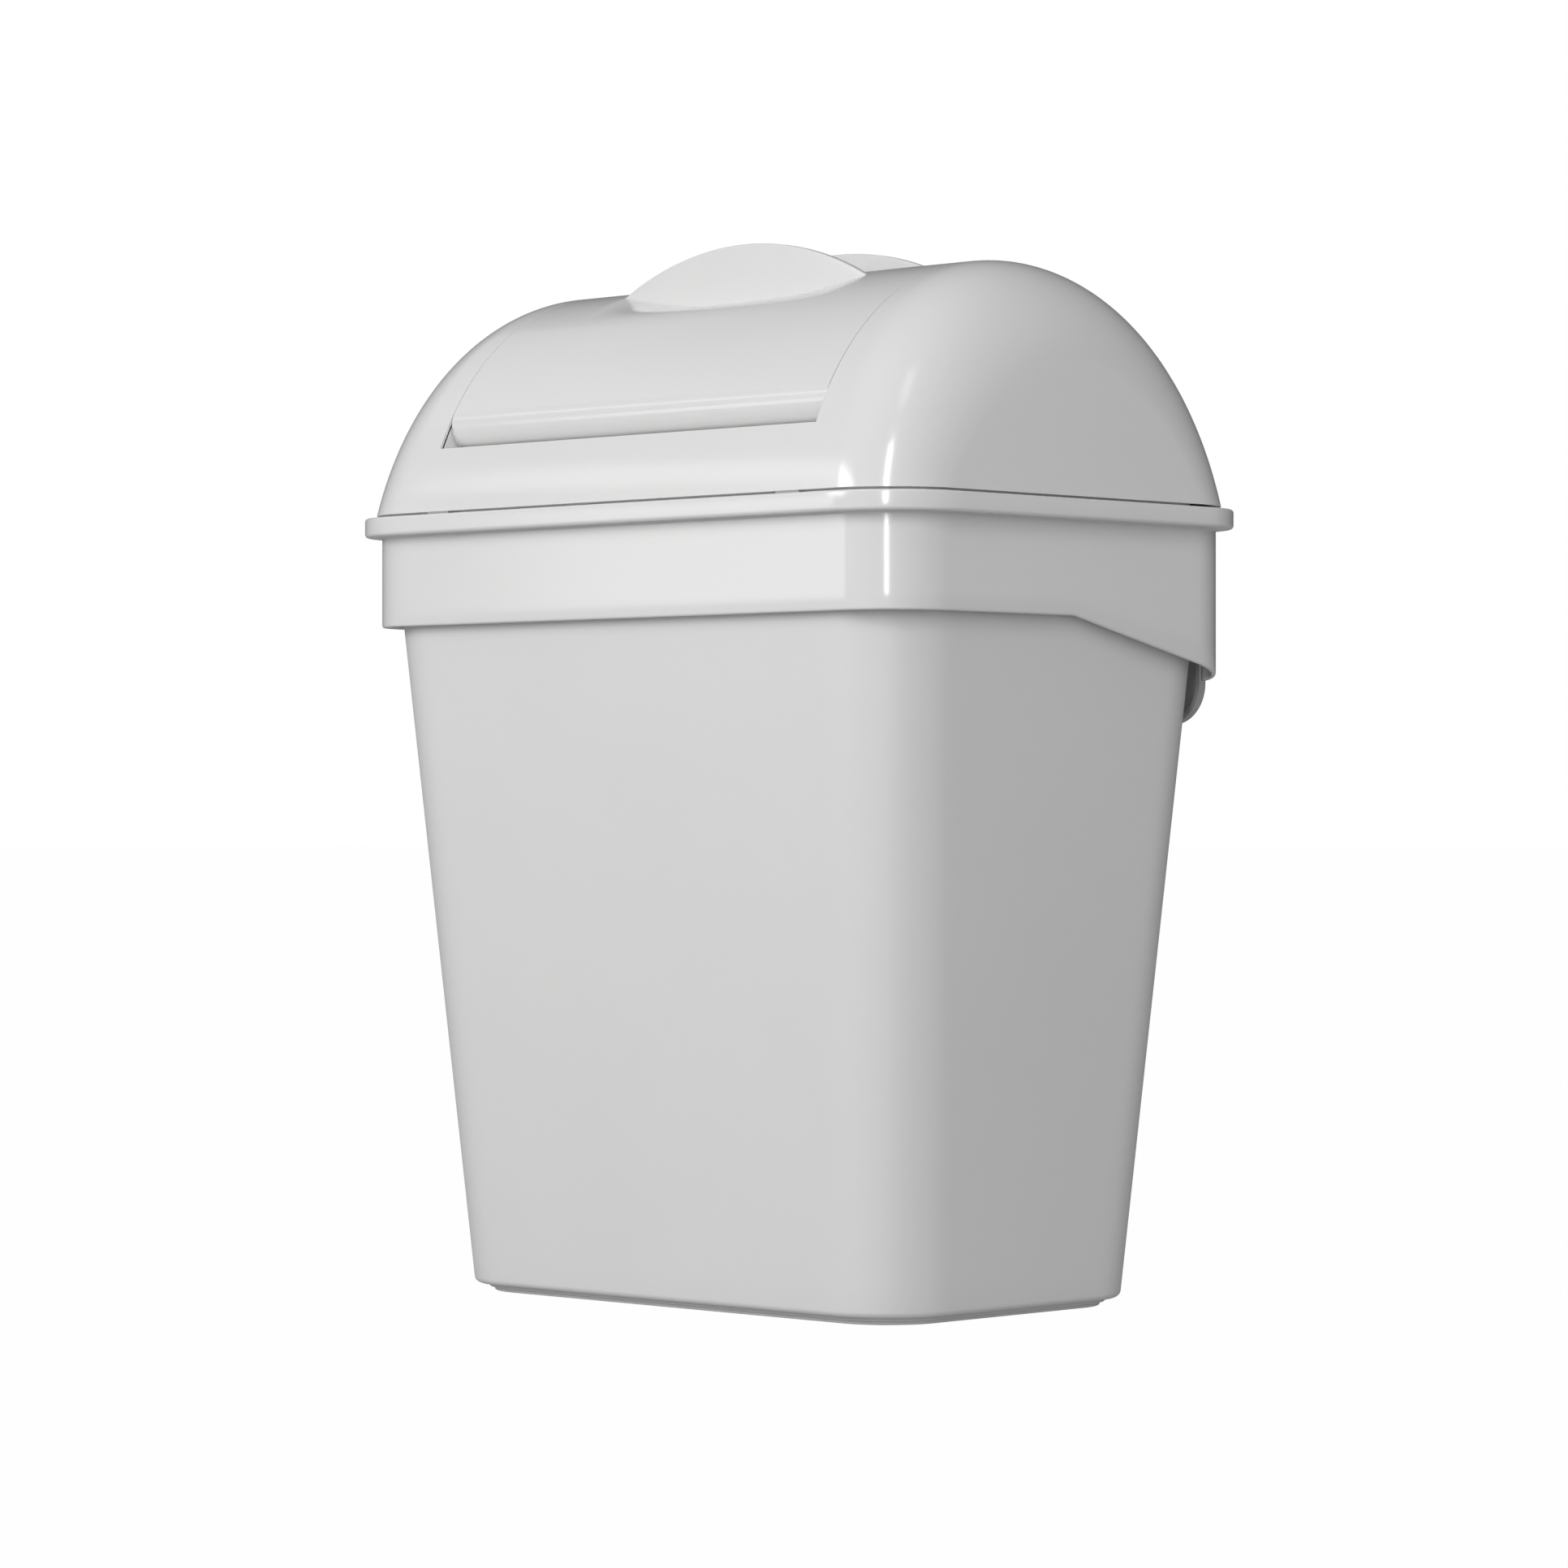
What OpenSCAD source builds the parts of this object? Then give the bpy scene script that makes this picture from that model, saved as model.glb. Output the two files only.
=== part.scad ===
// Swing-lid waste bin: tapered bucket, skirted collar, arched lid with a two-way swing flap,
// and a wall bracket that the bucket hangs on. Front is -Y, up is +Z, origin at floor level.

/* [Bucket] */
// Height of the bucket to the top of its rim
bucket_h = 416; // [340:1:520]
// Outer width of the bucket at its rim
bucket_w = 395.2; // [340:0.1:520]
// Outer depth of the bucket at its rim
bucket_d = 264; // [230:0.1:340]
// Slope of every bucket wall from the vertical, in degrees
bucket_draft = 4.4; // [1:0.1:6]
// Radius of the bucket's upright corners
bucket_corner = 40; // [25:1:55]
// Radius between the walls and the floor
bucket_fillet = 12; // [6:1:18]
// Wall of the bucket
bucket_wall = 2.5; // [1.8:0.1:4]
// Extra thickness of the rim, inwards
rim_extra = 3; // [1:0.5:6]
// Height of the thick rim
rim_h = 9; // [5:1:16]

/* [Foot ring] */
// Height of the lower step of the foot ring
foot_step = 2; // [1.5:0.1:4]
// How far the upper step stands in from the wall
foot_inset = 7; // [5:0.5:10]
// How much further in the lower step stands
foot_inset_step = 2.5; // [1:0.5:5]
// Width of the foot ring
foot_ring_w = 8; // [5:0.5:14]
// Diameter of a rubber foot
pad_dia = 22; // [14:1:30]
// How far a rubber foot stands below the ring
pad_proud = 0.8; // [0.5:0.1:2]

/* [Collar] */
// Gap between the bucket's rim and the skirt around it
collar_gap = 0.6; // [0.3:0.1:2]
// Wall of the skirt
collar_wall = 2.5; // [1.8:0.1:4]
// Radius of the skirt's upright corners, outside
collar_corner = 36.7; // [25:0.1:50]
// Height of the skirt below the flange, at the front
skirt_h = 48.8; // [30:0.1:80]
// How much lower the skirt reaches at the back
skirt_drop = 31; // [0:1:50]
// How far the flange stands out from the skirt
flange_out = 9.3; // [5:0.1:15]
// Height of the flange
flange_h = 10.2; // [6:0.1:16]
// Thickness of the ledge that rests on the bucket's rim
ledge_t = 2.5; // [2:0.1:5]
// Width of the ledge, inwards from the skirt
ledge_w = 14; // [10:1:24]
// Height of the upstand inside the lid
upstand_h = 5; // [3:0.5:10]
// Width of the gap in the skirt's back wall
notch_w = 350; // [280:1:360]
// Height of the skirt's back wall left above that gap
notch_band = 5; // [3:0.5:12]

/* [Lid] */
// How far the lid's foot stands out from the skirt
lid_out = 3; // [1:0.1:6]
// Gap between the lid's foot and the flange
lid_gap = 1.6; // [1:0.1:3]
// Height of the lid from its foot to its crest
lid_h = 123.7; // [90:0.1:160]
// How far the arch's widest line lies below the lid's foot
arch_below = 34.6; // [20:0.1:50]
// Wall of the lid and of the flap
lid_wall = 2.5; // [1.8:0.1:4]
// Radius of the lid's end rounding at its foot
end_foot_r = 39.7; // [25:0.1:55]
// Radius of that rounding at the crest
end_crest_r = 58; // [30:1:70]
// Height of the opening's lower edge above the lid's foot
sill_h = 34.4; // [20:0.1:60]
// Depth of the cheeks at the two ends of the opening
cheek_depth = 20; // [12:1:26]

/* [Flap] */
// Width of the opening
opening_w = 280; // [200:1:300]
// Gap between the flap's end and the cheek
flap_gap = 0.8; // [0.5:0.1:2]
// Height above the sill where the flap leaves the arch and rolls in
roll_start = 20; // [12:1:40]
// Outer radius of the rolled lip
roll_r = 14.4; // [8:0.1:18]
// Turn of the rolled lip, in degrees
roll_turn = 100; // [60:1:120]
// Clearance between the swinging lip and the shelf behind the sill
shelf_gap = 1.2; // [0.8:0.1:3]
// How far the pivot lies below the crest
pivot_drop = 16; // [12:0.5:30]
// Diameter of the pivot pins
pin_d = 6; // [4:0.5:8]
// Radial clearance of a turning pin
run_gap = 0.05; // [0.02:0.01:0.1]

/* [Grips] */
// Distance of a grip's outer face from the crest line
grip_y = 38; // [28:0.5:50]
// Thickness of a grip
grip_t = 4; // [3:0.5:6]
// Half length of a grip
grip_half = 90; // [60:1:110]
// Height of a grip's top above the crest
grip_up = 16.7; // [10:0.1:30]
// Depth of the finger hollow at the grip's middle
hollow_depth = 9.5; // [5:0.5:14]
// Slope of the hollow's floor where it meets the grip
hollow_slope = 0.18; // [0.1:0.01:0.3]
// Diameter of the pegs under a grip
peg_d = 3; // [2:0.5:3.5]

/* [Wall bracket] */
// Width of the bracket
bracket_w = 333; // [240:1:345]
// Height of the bracket
bracket_h = 99; // [60:1:110]
// Thickness of the bracket's plate
bracket_t = 3; // [2:0.1:5]
// Depth of the bracket's edge
bracket_edge = 5.2; // [4:0.1:7]
// Radius of the bracket's lower corners
bracket_corner = 22; // [10:1:30]
// Distance between the screw holes, side to side
screw_dx = 240; // [160:1:280]
// Distance between the screw holes, up and down
screw_dz = 50; // [30:1:70]
// Diameter of the screw holes
screw_d = 5.5; // [4:0.1:8]
// Distance of each hook from the middle
hook_x = 80; // [50:1:110]
// Width of a hook
hook_w = 46; // [25:1:60]
// Thickness of the hook's lip and of the lug's lip
hook_t = 2.5; // [2:0.1:4]
// Overlap of the lips, up and down
hook_grip = 15; // [8:1:20]

/* [Hidden] */
$fn = 64;
ARCH_STEPS = 48;      // sides of an arch
END_STEPS = 6;        // sides of the lid's end rounding
SLIVER = 0.01;        // thickness of a slab that only spans a hull
seat_gap = 0.3;       // between a part and what it rests on

// bucket
draft_run = tan(bucket_draft);
foot_h = 2 * foot_step;                         // the floor's underside, above the ring's foot
ring_foot_z = pad_proud;
floor_z = ring_foot_z + foot_h;
bucket_top_z = bucket_h;
function bucket_in(z) = (bucket_top_z - z) * draft_run;   // how far a wall has come in at height z

// collar, outside sizes of the skirt
skirt_w = bucket_w + 2 * (collar_gap + collar_wall);
skirt_d = bucket_d + 2 * (collar_gap + collar_wall);
ledge_z = bucket_top_z + seat_gap;
flange_top_z = ledge_z + ledge_t;
flange_z = flange_top_z - flange_h;
skirt_z = flange_z - skirt_h;
flange_w = skirt_w + 2 * flange_out;
flange_d = skirt_d + 2 * flange_out;
wall_y = flange_d / 2;                          // the plane of the wall behind the bin

// lid
lid_w = skirt_w + 2 * lid_out;
lid_foot_d = skirt_d + 2 * lid_out;
lid_z = flange_top_z + lid_gap;
crest_z = lid_z + lid_h;
arch_z = lid_z - arch_below;                    // centre of the arch
arch_h = crest_z - arch_z;
arch_a = lid_foot_d / 2 / sqrt(1 - pow(arch_below / arch_h, 2));
sill_z = lid_z + sill_h;
cheek_x = opening_w / 2;
cheek_t = 3;

// flap
flap_w = opening_w - 2 * flap_gap;
pivot_z = crest_z - pivot_drop;
pin_r = pin_d / 2;
lug_t = 12;
lug_r = pin_r + 5;
lug_x = flap_w / 2 - 1;                         // outer face of a flap lug
boss_l = 10;                                    // length of the lid's pivot boss
bush_t = 1.5;
bush_flange_t = cheek_x - lug_x - 0.4;
bush_flange_r = pin_r + bush_t + 2;
boss_r = pin_r + bush_t + 3;
clip_t = 1;
clip_x = cheek_x + boss_l + 0.4;
pin_end_x = clip_x + clip_t + 2;
pin_head_t = 2;

// bracket and lugs
bracket_top_z = flange_z - 3;
bracket_z = bracket_top_z - bracket_h;
plate_y = wall_y - bracket_t;                   // front face of the plate
lug_root_y = bucket_d / 2;
lip_gap = 1;
lug_lip_y = plate_y - lip_gap - hook_t;         // front face of the lug's lip
hook_lip_y = lug_lip_y - lip_gap - hook_t;      // front face of the hook's lip
lug_under_z = flange_z - 34;                    // underside of the bucket's lugs
hook_top_z = lug_under_z - seat_gap;
hook_shelf_z = hook_top_z - hook_grip - 3;

PLASTIC = [0.86, 0.86, 0.855];
GREY_RUBBER = [0.25, 0.25, 0.26];
STEEL = [0.7, 0.7, 0.72];
ACETAL = [0.93, 0.93, 0.9];

// ---- shapes that repeat ----

// flat rectangle with round corners, centred
module rounded_rect(w, d, r) {
    square([w - 2 * r, d], center = true);
    square([w, d - 2 * r], center = true);
    for (sx = [-1, 1], sy = [-1, 1])
        translate([sx * (w / 2 - r), sy * (d / 2 - r)])
            circle(r);
}

module slab(w, d, r, z, h) {
    translate([0, 0, z])
        linear_extrude(h)
            rounded_rect(w, d, r);
}

// ring between two rounded rectangles that share their corner centres
module band(w, d, r, wall, z, h) {
    translate([0, 0, z])
        linear_extrude(h)
            difference() {
                rounded_rect(w, d, r);
                rounded_rect(w - 2 * wall, d - 2 * wall, r - wall);
            }
}

// carries a shape drawn in (y, z) along X
module along_x(l) {
    rotate([90, 0, 90])
        linear_extrude(l, center = true)
            children();
}

module x_cylinder(r, x0, x1, y, z) {
    translate([x0, y, z])
        rotate([0, 90, 0])
            cylinder(r = r, h = x1 - x0);
}

module mirror_x() {
    children();
    mirror([1, 0, 0])
        children();
}

module mirror_y() {
    children();
    mirror([0, 1, 0])
        children();
}

// points of an arch with half-width a and height h, from height z0 on one side to z0 on the other
function arch(a, h, z0) =
    let (t0 = asin(max(z0, 0) / h))
    [for (i = [0 : ARCH_STEPS])
        let (t = t0 + (180 - 2 * t0) * i / ARCH_STEPS)
        [a * cos(t), h * sin(t)]];

// half-width of the lid's arch at height z
function arch_y(z, inset = 0) =
    (arch_a - inset) * sqrt(1 - pow((z - arch_z) / (arch_h - inset), 2));

// ---- bucket ----

// one level of the tub: the rounded rectangle at height z, moved in by inset
module bucket_level(z, inset, corner) {
    in = bucket_in(z) + inset;
    slab(bucket_w - 2 * in, bucket_d - 2 * in, corner, z, SLIVER);
}

// the tub as a solid, from its filleted floor to z_top, all walls moved in by wall
module tub(wall, z_floor, z_top) {
    r = max(bucket_fillet - wall, 1);
    corner = bucket_corner - wall;
    hull() {
        bucket_level(z_top - SLIVER, wall, corner);
        for (a = [0 : 18 : 90])
            bucket_level(z_floor + r * (1 - sin(a)), wall + r * (1 - cos(a)),
                         corner - 0.6 * r * (1 - cos(a)));
    }
}

module foot_ring() {
    in = bucket_in(floor_z);
    w = bucket_w - 2 * (in + foot_inset);
    d = bucket_d - 2 * (in + foot_inset);
    corner = bucket_corner - foot_inset / 2;
    band(w, d, corner, foot_ring_w, ring_foot_z + foot_step, foot_step + bucket_wall / 2);
    band(w - 2 * foot_inset_step, d - 2 * foot_inset_step, corner - foot_inset_step,
         foot_ring_w - foot_inset_step, ring_foot_z, foot_step + SLIVER);
}

// lug with a down-turned lip, which drops behind a hook of the bracket
module hanging_lug() {
    top_t = 3;
    for (side = [-1, 1])
        translate([side * hook_x - hook_w / 2, 0, 0]) {
            translate([0, lug_root_y - 6, lug_under_z])
                cube([hook_w, lug_lip_y + hook_t - lug_root_y + 6, top_t]);
            translate([0, lug_lip_y, lug_under_z - hook_grip])
                cube([hook_w, hook_t, hook_grip + top_t]);
        }
}

module bucket() {
    color(PLASTIC) {
        difference() {
            union() {
                tub(0, floor_z, bucket_top_z);
                hanging_lug();
            }
            difference() {
                tub(bucket_wall, floor_z + bucket_wall, bucket_top_z + 2 * SLIVER);
                rim_cut = bucket_wall + rim_extra;
                difference() {
                    translate([0, 0, bucket_top_z - rim_h])
                        linear_extrude(rim_h + 1)
                            square([bucket_w + 20, bucket_d + 20], center = true);
                    slab(bucket_w - 2 * rim_cut, bucket_d - 2 * rim_cut, bucket_corner - rim_cut,
                         bucket_top_z - rim_h - 1, rim_h + 3);
                }
            }
        }
        foot_ring();
    }
}

// rubber foot under one corner of the floor
module foot(sx, sy) {
    in = bucket_in(floor_z) + foot_inset + foot_ring_w + pad_dia / 2 + bucket_corner / 5;
    color(GREY_RUBBER)
        translate([sx * (bucket_w / 2 - in), sy * (bucket_d / 2 - in), 0])
            cylinder(d = pad_dia, h = floor_z);
}

// ---- collar ----

module skirt_bottom_cut() {
    far = skirt_d;
    slope = skirt_drop / (skirt_d / 2);
    along_x(flange_w + 10)
        polygon([[-far, skirt_z - skirt_drop - 20], [-far, skirt_z], [0, skirt_z],
                 [far, skirt_z - slope * far], [far, skirt_z - skirt_drop - 60]]);
}

module collar() {
    color(PLASTIC)
        difference() {
            union() {
                band(skirt_w, skirt_d, collar_corner, collar_wall,
                     skirt_z - skirt_drop - 1, skirt_h + skirt_drop + flange_h + 1);
                band(flange_w, flange_d, collar_corner + flange_out, flange_out + SLIVER,
                     flange_z, flange_h);
                band(skirt_w, skirt_d, collar_corner, collar_wall + ledge_w, ledge_z, ledge_t);
                upstand();
            }
            skirt_bottom_cut();
            translate([-notch_w / 2, skirt_d / 2 - collar_wall - 4, skirt_z - skirt_drop - 2])
                cube([notch_w, collar_wall + 5, skirt_h + skirt_drop + 2 - notch_band]);
        }
}

// low wall inside the lid's foot, at the front and the sides
module upstand() {
    gap = 1.8;
    t = 2;
    back = 40;
    w = lid_w - 2 * (lid_wall + gap);
    d = lid_foot_d - 2 * (lid_wall + gap);
    corner = end_foot_r - lid_wall - gap;
    difference() {
        band(w, d, corner, t, flange_top_z - SLIVER, upstand_h);
        translate([-w, d / 2 - back, flange_top_z - 1])
            cube([2 * w, back + 1, upstand_h + 2]);
    }
}

// ---- lid ----

// one arch of the lid: p runs from 0 where the end rounding starts to 90 on the end face
function lid_row(p, side, inset, z0) =
    let (
        foot_r = end_foot_r - inset,
        crest_r = end_crest_r - inset,
        a = arch_a - inset,
        h = arch_h - inset,
        t0 = asin((z0 - arch_z) / (h - foot_r * (1 - cos(p))))
    )
    [for (i = [0 : ARCH_STEPS])
        let (
            s = 2 * i / ARCH_STEPS - 1,
            t = 90 + s * (90 - t0),
            r = crest_r + (foot_r - crest_r) * s * s,
            cut = r * (1 - cos(p))
        )
        [side * (lid_w / 2 - inset - r * (1 - sin(p))), (a - cut) * cos(t),
         arch_z + (h - cut) * sin(t)]];

// the lid's outline as a solid, moved in by inset, standing on z0
module lid_solid(inset, z0) {
    n = ARCH_STEPS + 1;
    m = 2 * END_STEPS + 2;
    rows = concat([for (j = [0 : END_STEPS]) lid_row(90 - 90 * j / END_STEPS, -1, inset, z0)],
                  [for (j = [0 : END_STEPS]) lid_row(90 * j / END_STEPS, 1, inset, z0)]);
    points = [for (row = rows) each row];
    skin = [for (j = [0 : m - 2], i = [0 : n - 2])
        let (k = j * n + i)
        each [[k, k + n, k + n + 1], [k, k + n + 1, k + 1]]];
    base = [for (j = [0 : m - 2])
        let (k = j * n)
        each [[k, k + n - 1, k + 2 * n - 1], [k, k + 2 * n - 1, k + n]]];
    ends = [[for (i = [0 : n - 1]) i], [for (i = [n - 1 : -1 : 0]) (m - 1) * n + i]];
    polyhedron(points = points, faces = concat(skin, base, ends));
}

// wall across each end of the opening, with the pivot boss near the crest
module cheek() {
    translate([cheek_x + cheek_t / 2, 0, 0])
        along_x(cheek_t)
            difference() {
                translate([0, arch_z])
                    polygon(arch(arch_a - lid_wall / 2, arch_h - lid_wall / 2, sill_z - 6 - arch_z));
                difference() {
                    translate([0, arch_z])
                        polygon(arch(arch_a - cheek_depth, arch_h - cheek_depth, 0));
                    translate([0, pivot_z])
                        circle(boss_r + 3);
                    translate([-boss_r - 3, pivot_z])
                        square([2 * (boss_r + 3), pivot_drop]);
                }
            }
    x_cylinder(boss_r, cheek_x, cheek_x + boss_l, 0, pivot_z);
}

// shelf behind each lower edge of the opening, up to where the flap's lip passes
module sill_shelf() {
    lip_reach = norm(roll_c - [0, pivot_z]) + roll_r;
    y_in = sqrt(pow(lip_reach + shelf_gap, 2) - pow(pivot_z - sill_z, 2));
    y_out = arch_y(sill_z) - lid_wall / 2;
    mirror_y()
        translate([-cheek_x - cheek_t / 2, y_in, sill_z - lid_wall])
            cube([opening_w + cheek_t, y_out - y_in, lid_wall]);
}

module dome() {
    color(PLASTIC)
        difference() {
            union() {
                sill_shelf();
                difference() {
                    lid_solid(0, lid_z);
                    lid_solid(lid_wall, lid_z - 1);
                    translate([-cheek_x, -lid_foot_d, sill_z])
                        cube([opening_w, 2 * lid_foot_d, lid_h]);
                }
                mirror_x()
                    cheek();
            }
            for (side = [-1, 1])
                x_cylinder(pin_r + bush_t, side * (cheek_x + boss_l / 2) - boss_l,
                           side * (cheek_x + boss_l / 2) + boss_l, 0, pivot_z);
        }
}

// rubber pad glued under the lid's foot
module lid_buffer(sx, sy, x) {
    l = 16;
    t = lid_wall - 0.4;
    color(GREY_RUBBER)
        translate([sx * x - l / 2, sy * (lid_foot_d / 2 - lid_wall / 2) - t / 2, flange_top_z + seat_gap])
            cube([l, t, lid_gap - seat_gap]);
}

// ---- flap ----

// where the roll leaves the arch, on the front side, and the roll's centre and first angle
roll_z = sill_z + roll_start;
roll_y = -arch_y(roll_z);
roll_nx = roll_y / pow(arch_a, 2);
roll_nz = (roll_z - arch_z) / pow(arch_h, 2);
roll_len = sqrt(roll_nx * roll_nx + roll_nz * roll_nz);
roll_c = [roll_y - roll_r * roll_nx / roll_len, roll_z - roll_r * roll_nz / roll_len];
roll_a0 = atan2(roll_nz, roll_nx);
roll_a1 = roll_a0 + roll_turn;

// the flap's front half-outline at an inset from the outer face, crest first
function flap_edge(inset, n = 24) =
    let (
        t0 = asin((roll_z - arch_z) / arch_h),
        on_arch = [for (i = [0 : n])
            let (
                t = 90 + (90 - t0) * i / n,
                nx = cos(t) / arch_a,
                nz = sin(t) / arch_h,
                l = sqrt(nx * nx + nz * nz)
            )
            [arch_a * cos(t) - inset * nx / l, arch_z + arch_h * sin(t) - inset * nz / l]],
        on_roll = [for (i = [1 : n])
            let (a = roll_a0 + roll_turn * i / n)
            roll_c + (roll_r - inset) * [cos(a), sin(a)]]
    )
    concat(on_arch, on_roll);

function flipped(points) = [for (p = points) [-p[0], p[1]]];
function backwards(points) = [for (i = [len(points) - 1 : -1 : 0]) points[i]];

module flap_profile() {
    outer = flap_edge(0);
    inner = flap_edge(lid_wall);
    polygon(concat(outer, backwards(inner), flipped(inner), backwards(flipped(outer))));
}

module pivot_lug() {
    translate([lug_x - lug_t / 2, 0, 0])
        along_x(lug_t)
            intersection() {
                union() {
                    translate([0, pivot_z])
                        circle(lug_r);
                    translate([-lug_r, pivot_z])
                        square([2 * lug_r, pivot_drop]);
                }
                translate([0, arch_z])
                    polygon(arch(arch_a - lid_wall / 2, arch_h - lid_wall / 2, 0));
            }
}

// the hollow's floor is part of a ball; its section in the grip's face has this radius
hollow_chord_z = arch_z + arch_h * sqrt(1 - pow(grip_y / arch_a, 2));
hollow_r = (pow(grip_half, 2) + pow(hollow_depth, 2)) / (2 * hollow_depth);
hollow_y = grip_y + hollow_slope * hollow_r;
hollow_z = hollow_chord_z - hollow_depth + hollow_r;
hollow_ball_r = hollow_r * sqrt(1 + hollow_slope * hollow_slope);

// half ball that clears the hollow, from the grip's back face outwards
module hollow_ball(extra, back) {
    reach = 110;
    intersection() {
        translate([0, -hollow_y, hollow_z])
            sphere(r = hollow_ball_r + extra, $fn = 180);
        translate([-reach, -grip_y - 60, hollow_chord_z - 40])
            cube([2 * reach, 60 + grip_t + back, 60]);
    }
}

// floor of the finger hollow, under the arch
module hollow_floor() {
    intersection() {
        hollow_ball(lid_wall, lid_wall);
        along_x(2 * lug_x - 2 * lug_t)
            translate([0, arch_z])
                polygon(arch(arch_a - 0.5, arch_h - 0.5, 0));
    }
}

module flap() {
    color(PLASTIC)
        difference() {
            union() {
                along_x(flap_w)
                    flap_profile();
                mirror_x()
                    pivot_lug();
                mirror_y()
                    hollow_floor();
            }
            mirror_y() {
                hollow_ball(0, 0);
                grip_pegs(0);
            }
            for (side = [-1, 1])
                x_cylinder(pin_r, side * (lug_x - lug_t / 2) - lug_t, side * (lug_x - lug_t / 2) + lug_t,
                           0, pivot_z);
        }
}

// ---- grips ----

grip_top_z = crest_z + grip_up;
grip_rise = grip_top_z - hollow_chord_z;
grip_r = (pow(grip_half, 2) + pow(grip_rise, 2)) / (2 * grip_rise);     // radius of its top edge
peg_x = grip_half / 2;

module grip_pegs(gap) {
    for (side = [-1, 1])
        translate([side * peg_x, -grip_y + grip_t / 2, hollow_chord_z - hollow_depth - 8])
            cylinder(d = peg_d - 2 * gap, h = 16);
}

module grip() {
    color(PLASTIC) {
        along_y(-grip_y, -grip_y + grip_t)
            intersection() {
                translate([0, grip_top_z - grip_r])
                    circle(grip_r, $fn = 720);
                translate([0, hollow_z])
                    circle(hollow_r - 1, $fn = 1440);
            }
        grip_pegs(0);
    }
}

// ---- pivot ----

module pivot_pin() {
    color(STEEL)
        difference() {
            union() {
                x_cylinder(pin_r, lug_x - lug_t - pin_head_t / 2, pin_end_x, 0, pivot_z);
                x_cylinder(pin_r + 2, lug_x - lug_t - pin_head_t, lug_x - lug_t, 0, pivot_z);
            }
            difference() {
                x_cylinder(pin_r + 1, clip_x - 0.05, clip_x + clip_t + 0.05, 0, pivot_z);
                x_cylinder(pin_r - 0.6, clip_x - 1, clip_x + clip_t + 1, 0, pivot_z);
            }
        }
}

module pivot_bush() {
    color(ACETAL)
        difference() {
            union() {
                x_cylinder(pin_r + bush_t, cheek_x, cheek_x + boss_l, 0, pivot_z);
                x_cylinder(bush_flange_r, cheek_x - bush_flange_t, cheek_x, 0, pivot_z);
            }
            x_cylinder(pin_r + run_gap, cheek_x - 5, cheek_x + boss_l + 5, 0, pivot_z);
        }
}

// open snap ring in the pin's groove
module pivot_clip() {
    color(STEEL)
        difference() {
            x_cylinder(pin_r + 2.5, clip_x, clip_x + clip_t, 0, pivot_z);
            x_cylinder(pin_r - 0.6, clip_x - 1, clip_x + clip_t + 1, 0, pivot_z);
            translate([clip_x - 1, -pin_r * 0.6, pivot_z - pin_r - 4])
                cube([clip_t + 2, pin_r * 1.2, pin_r + 4]);
        }
}

// ---- wall bracket ----

// outline in (x, z): round lower corners, square upper corners
module bracket_outline(inset) {
    r = bracket_corner - inset;
    w = bracket_w - 2 * inset;
    h = bracket_h - 2 * inset;
    translate([0, bracket_z + inset]) {
        translate([-w / 2, r])
            square([w, h - r]);
        translate([-w / 2 + r, 0])
            square([w - 2 * r, h]);
        for (side = [-1, 1])
            translate([side * (w / 2 - r), r])
                circle(r);
    }
}

// carries a shape drawn in (x, z) from y0 back to y1
module along_y(y0, y1) {
    translate([0, y1, 0])
        rotate([90, 0, 0])
            linear_extrude(y1 - y0)
                children();
}

module wall_bracket() {
    edge_t = 2.5;
    color(PLASTIC)
        difference() {
            union() {
                along_y(plate_y, wall_y)
                    bracket_outline(0);
                along_y(wall_y - bracket_edge, plate_y + SLIVER)
                    difference() {
                        bracket_outline(0);
                        bracket_outline(edge_t);
                    }
                for (side = [-1, 1])
                    translate([side * hook_x - (hook_w - 6) / 2, 0, 0]) {
                        translate([0, hook_lip_y, hook_shelf_z])
                            cube([hook_w - 6, plate_y - hook_lip_y + 1, 3]);
                        translate([0, hook_lip_y, hook_shelf_z])
                            cube([hook_w - 6, hook_t, hook_top_z - hook_shelf_z]);
                    }
            }
            for (sx = [-1, 1], sz = [-1, 1])
                translate([sx * screw_dx / 2, wall_y + 1,
                           bracket_z + bracket_h / 2 + sz * screw_dz / 2])
                    rotate([90, 0, 0])
                        cylinder(d = screw_d, h = bracket_t + 2);
        }
}

bucket();
foot(-1, -1);  // foot_front_left
foot(1, -1);  // foot_front_right
foot(-1, 1);  // foot_rear_left
foot(1, 1);  // foot_rear_right
collar();
dome();
lid_buffer(-1, -1, 130);  // lid_buffer_front_left
lid_buffer(1, -1, 130);  // lid_buffer_front_right
lid_buffer(-1, 1, 130);  // lid_buffer_rear_left
lid_buffer(1, 1, 130);  // lid_buffer_rear_right
flap();
grip();  // front_grip
mirror([0, 1, 0]) grip();  // rear_grip
mirror([1, 0, 0]) pivot_pin();  // pivot_pin_left
pivot_pin();  // pivot_pin_right
mirror([1, 0, 0]) pivot_bush();  // pivot_bush_left
pivot_bush();  // pivot_bush_right
mirror([1, 0, 0]) pivot_clip();  // pivot_clip_left
pivot_clip();  // pivot_clip_right
wall_bracket();
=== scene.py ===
import math

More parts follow.
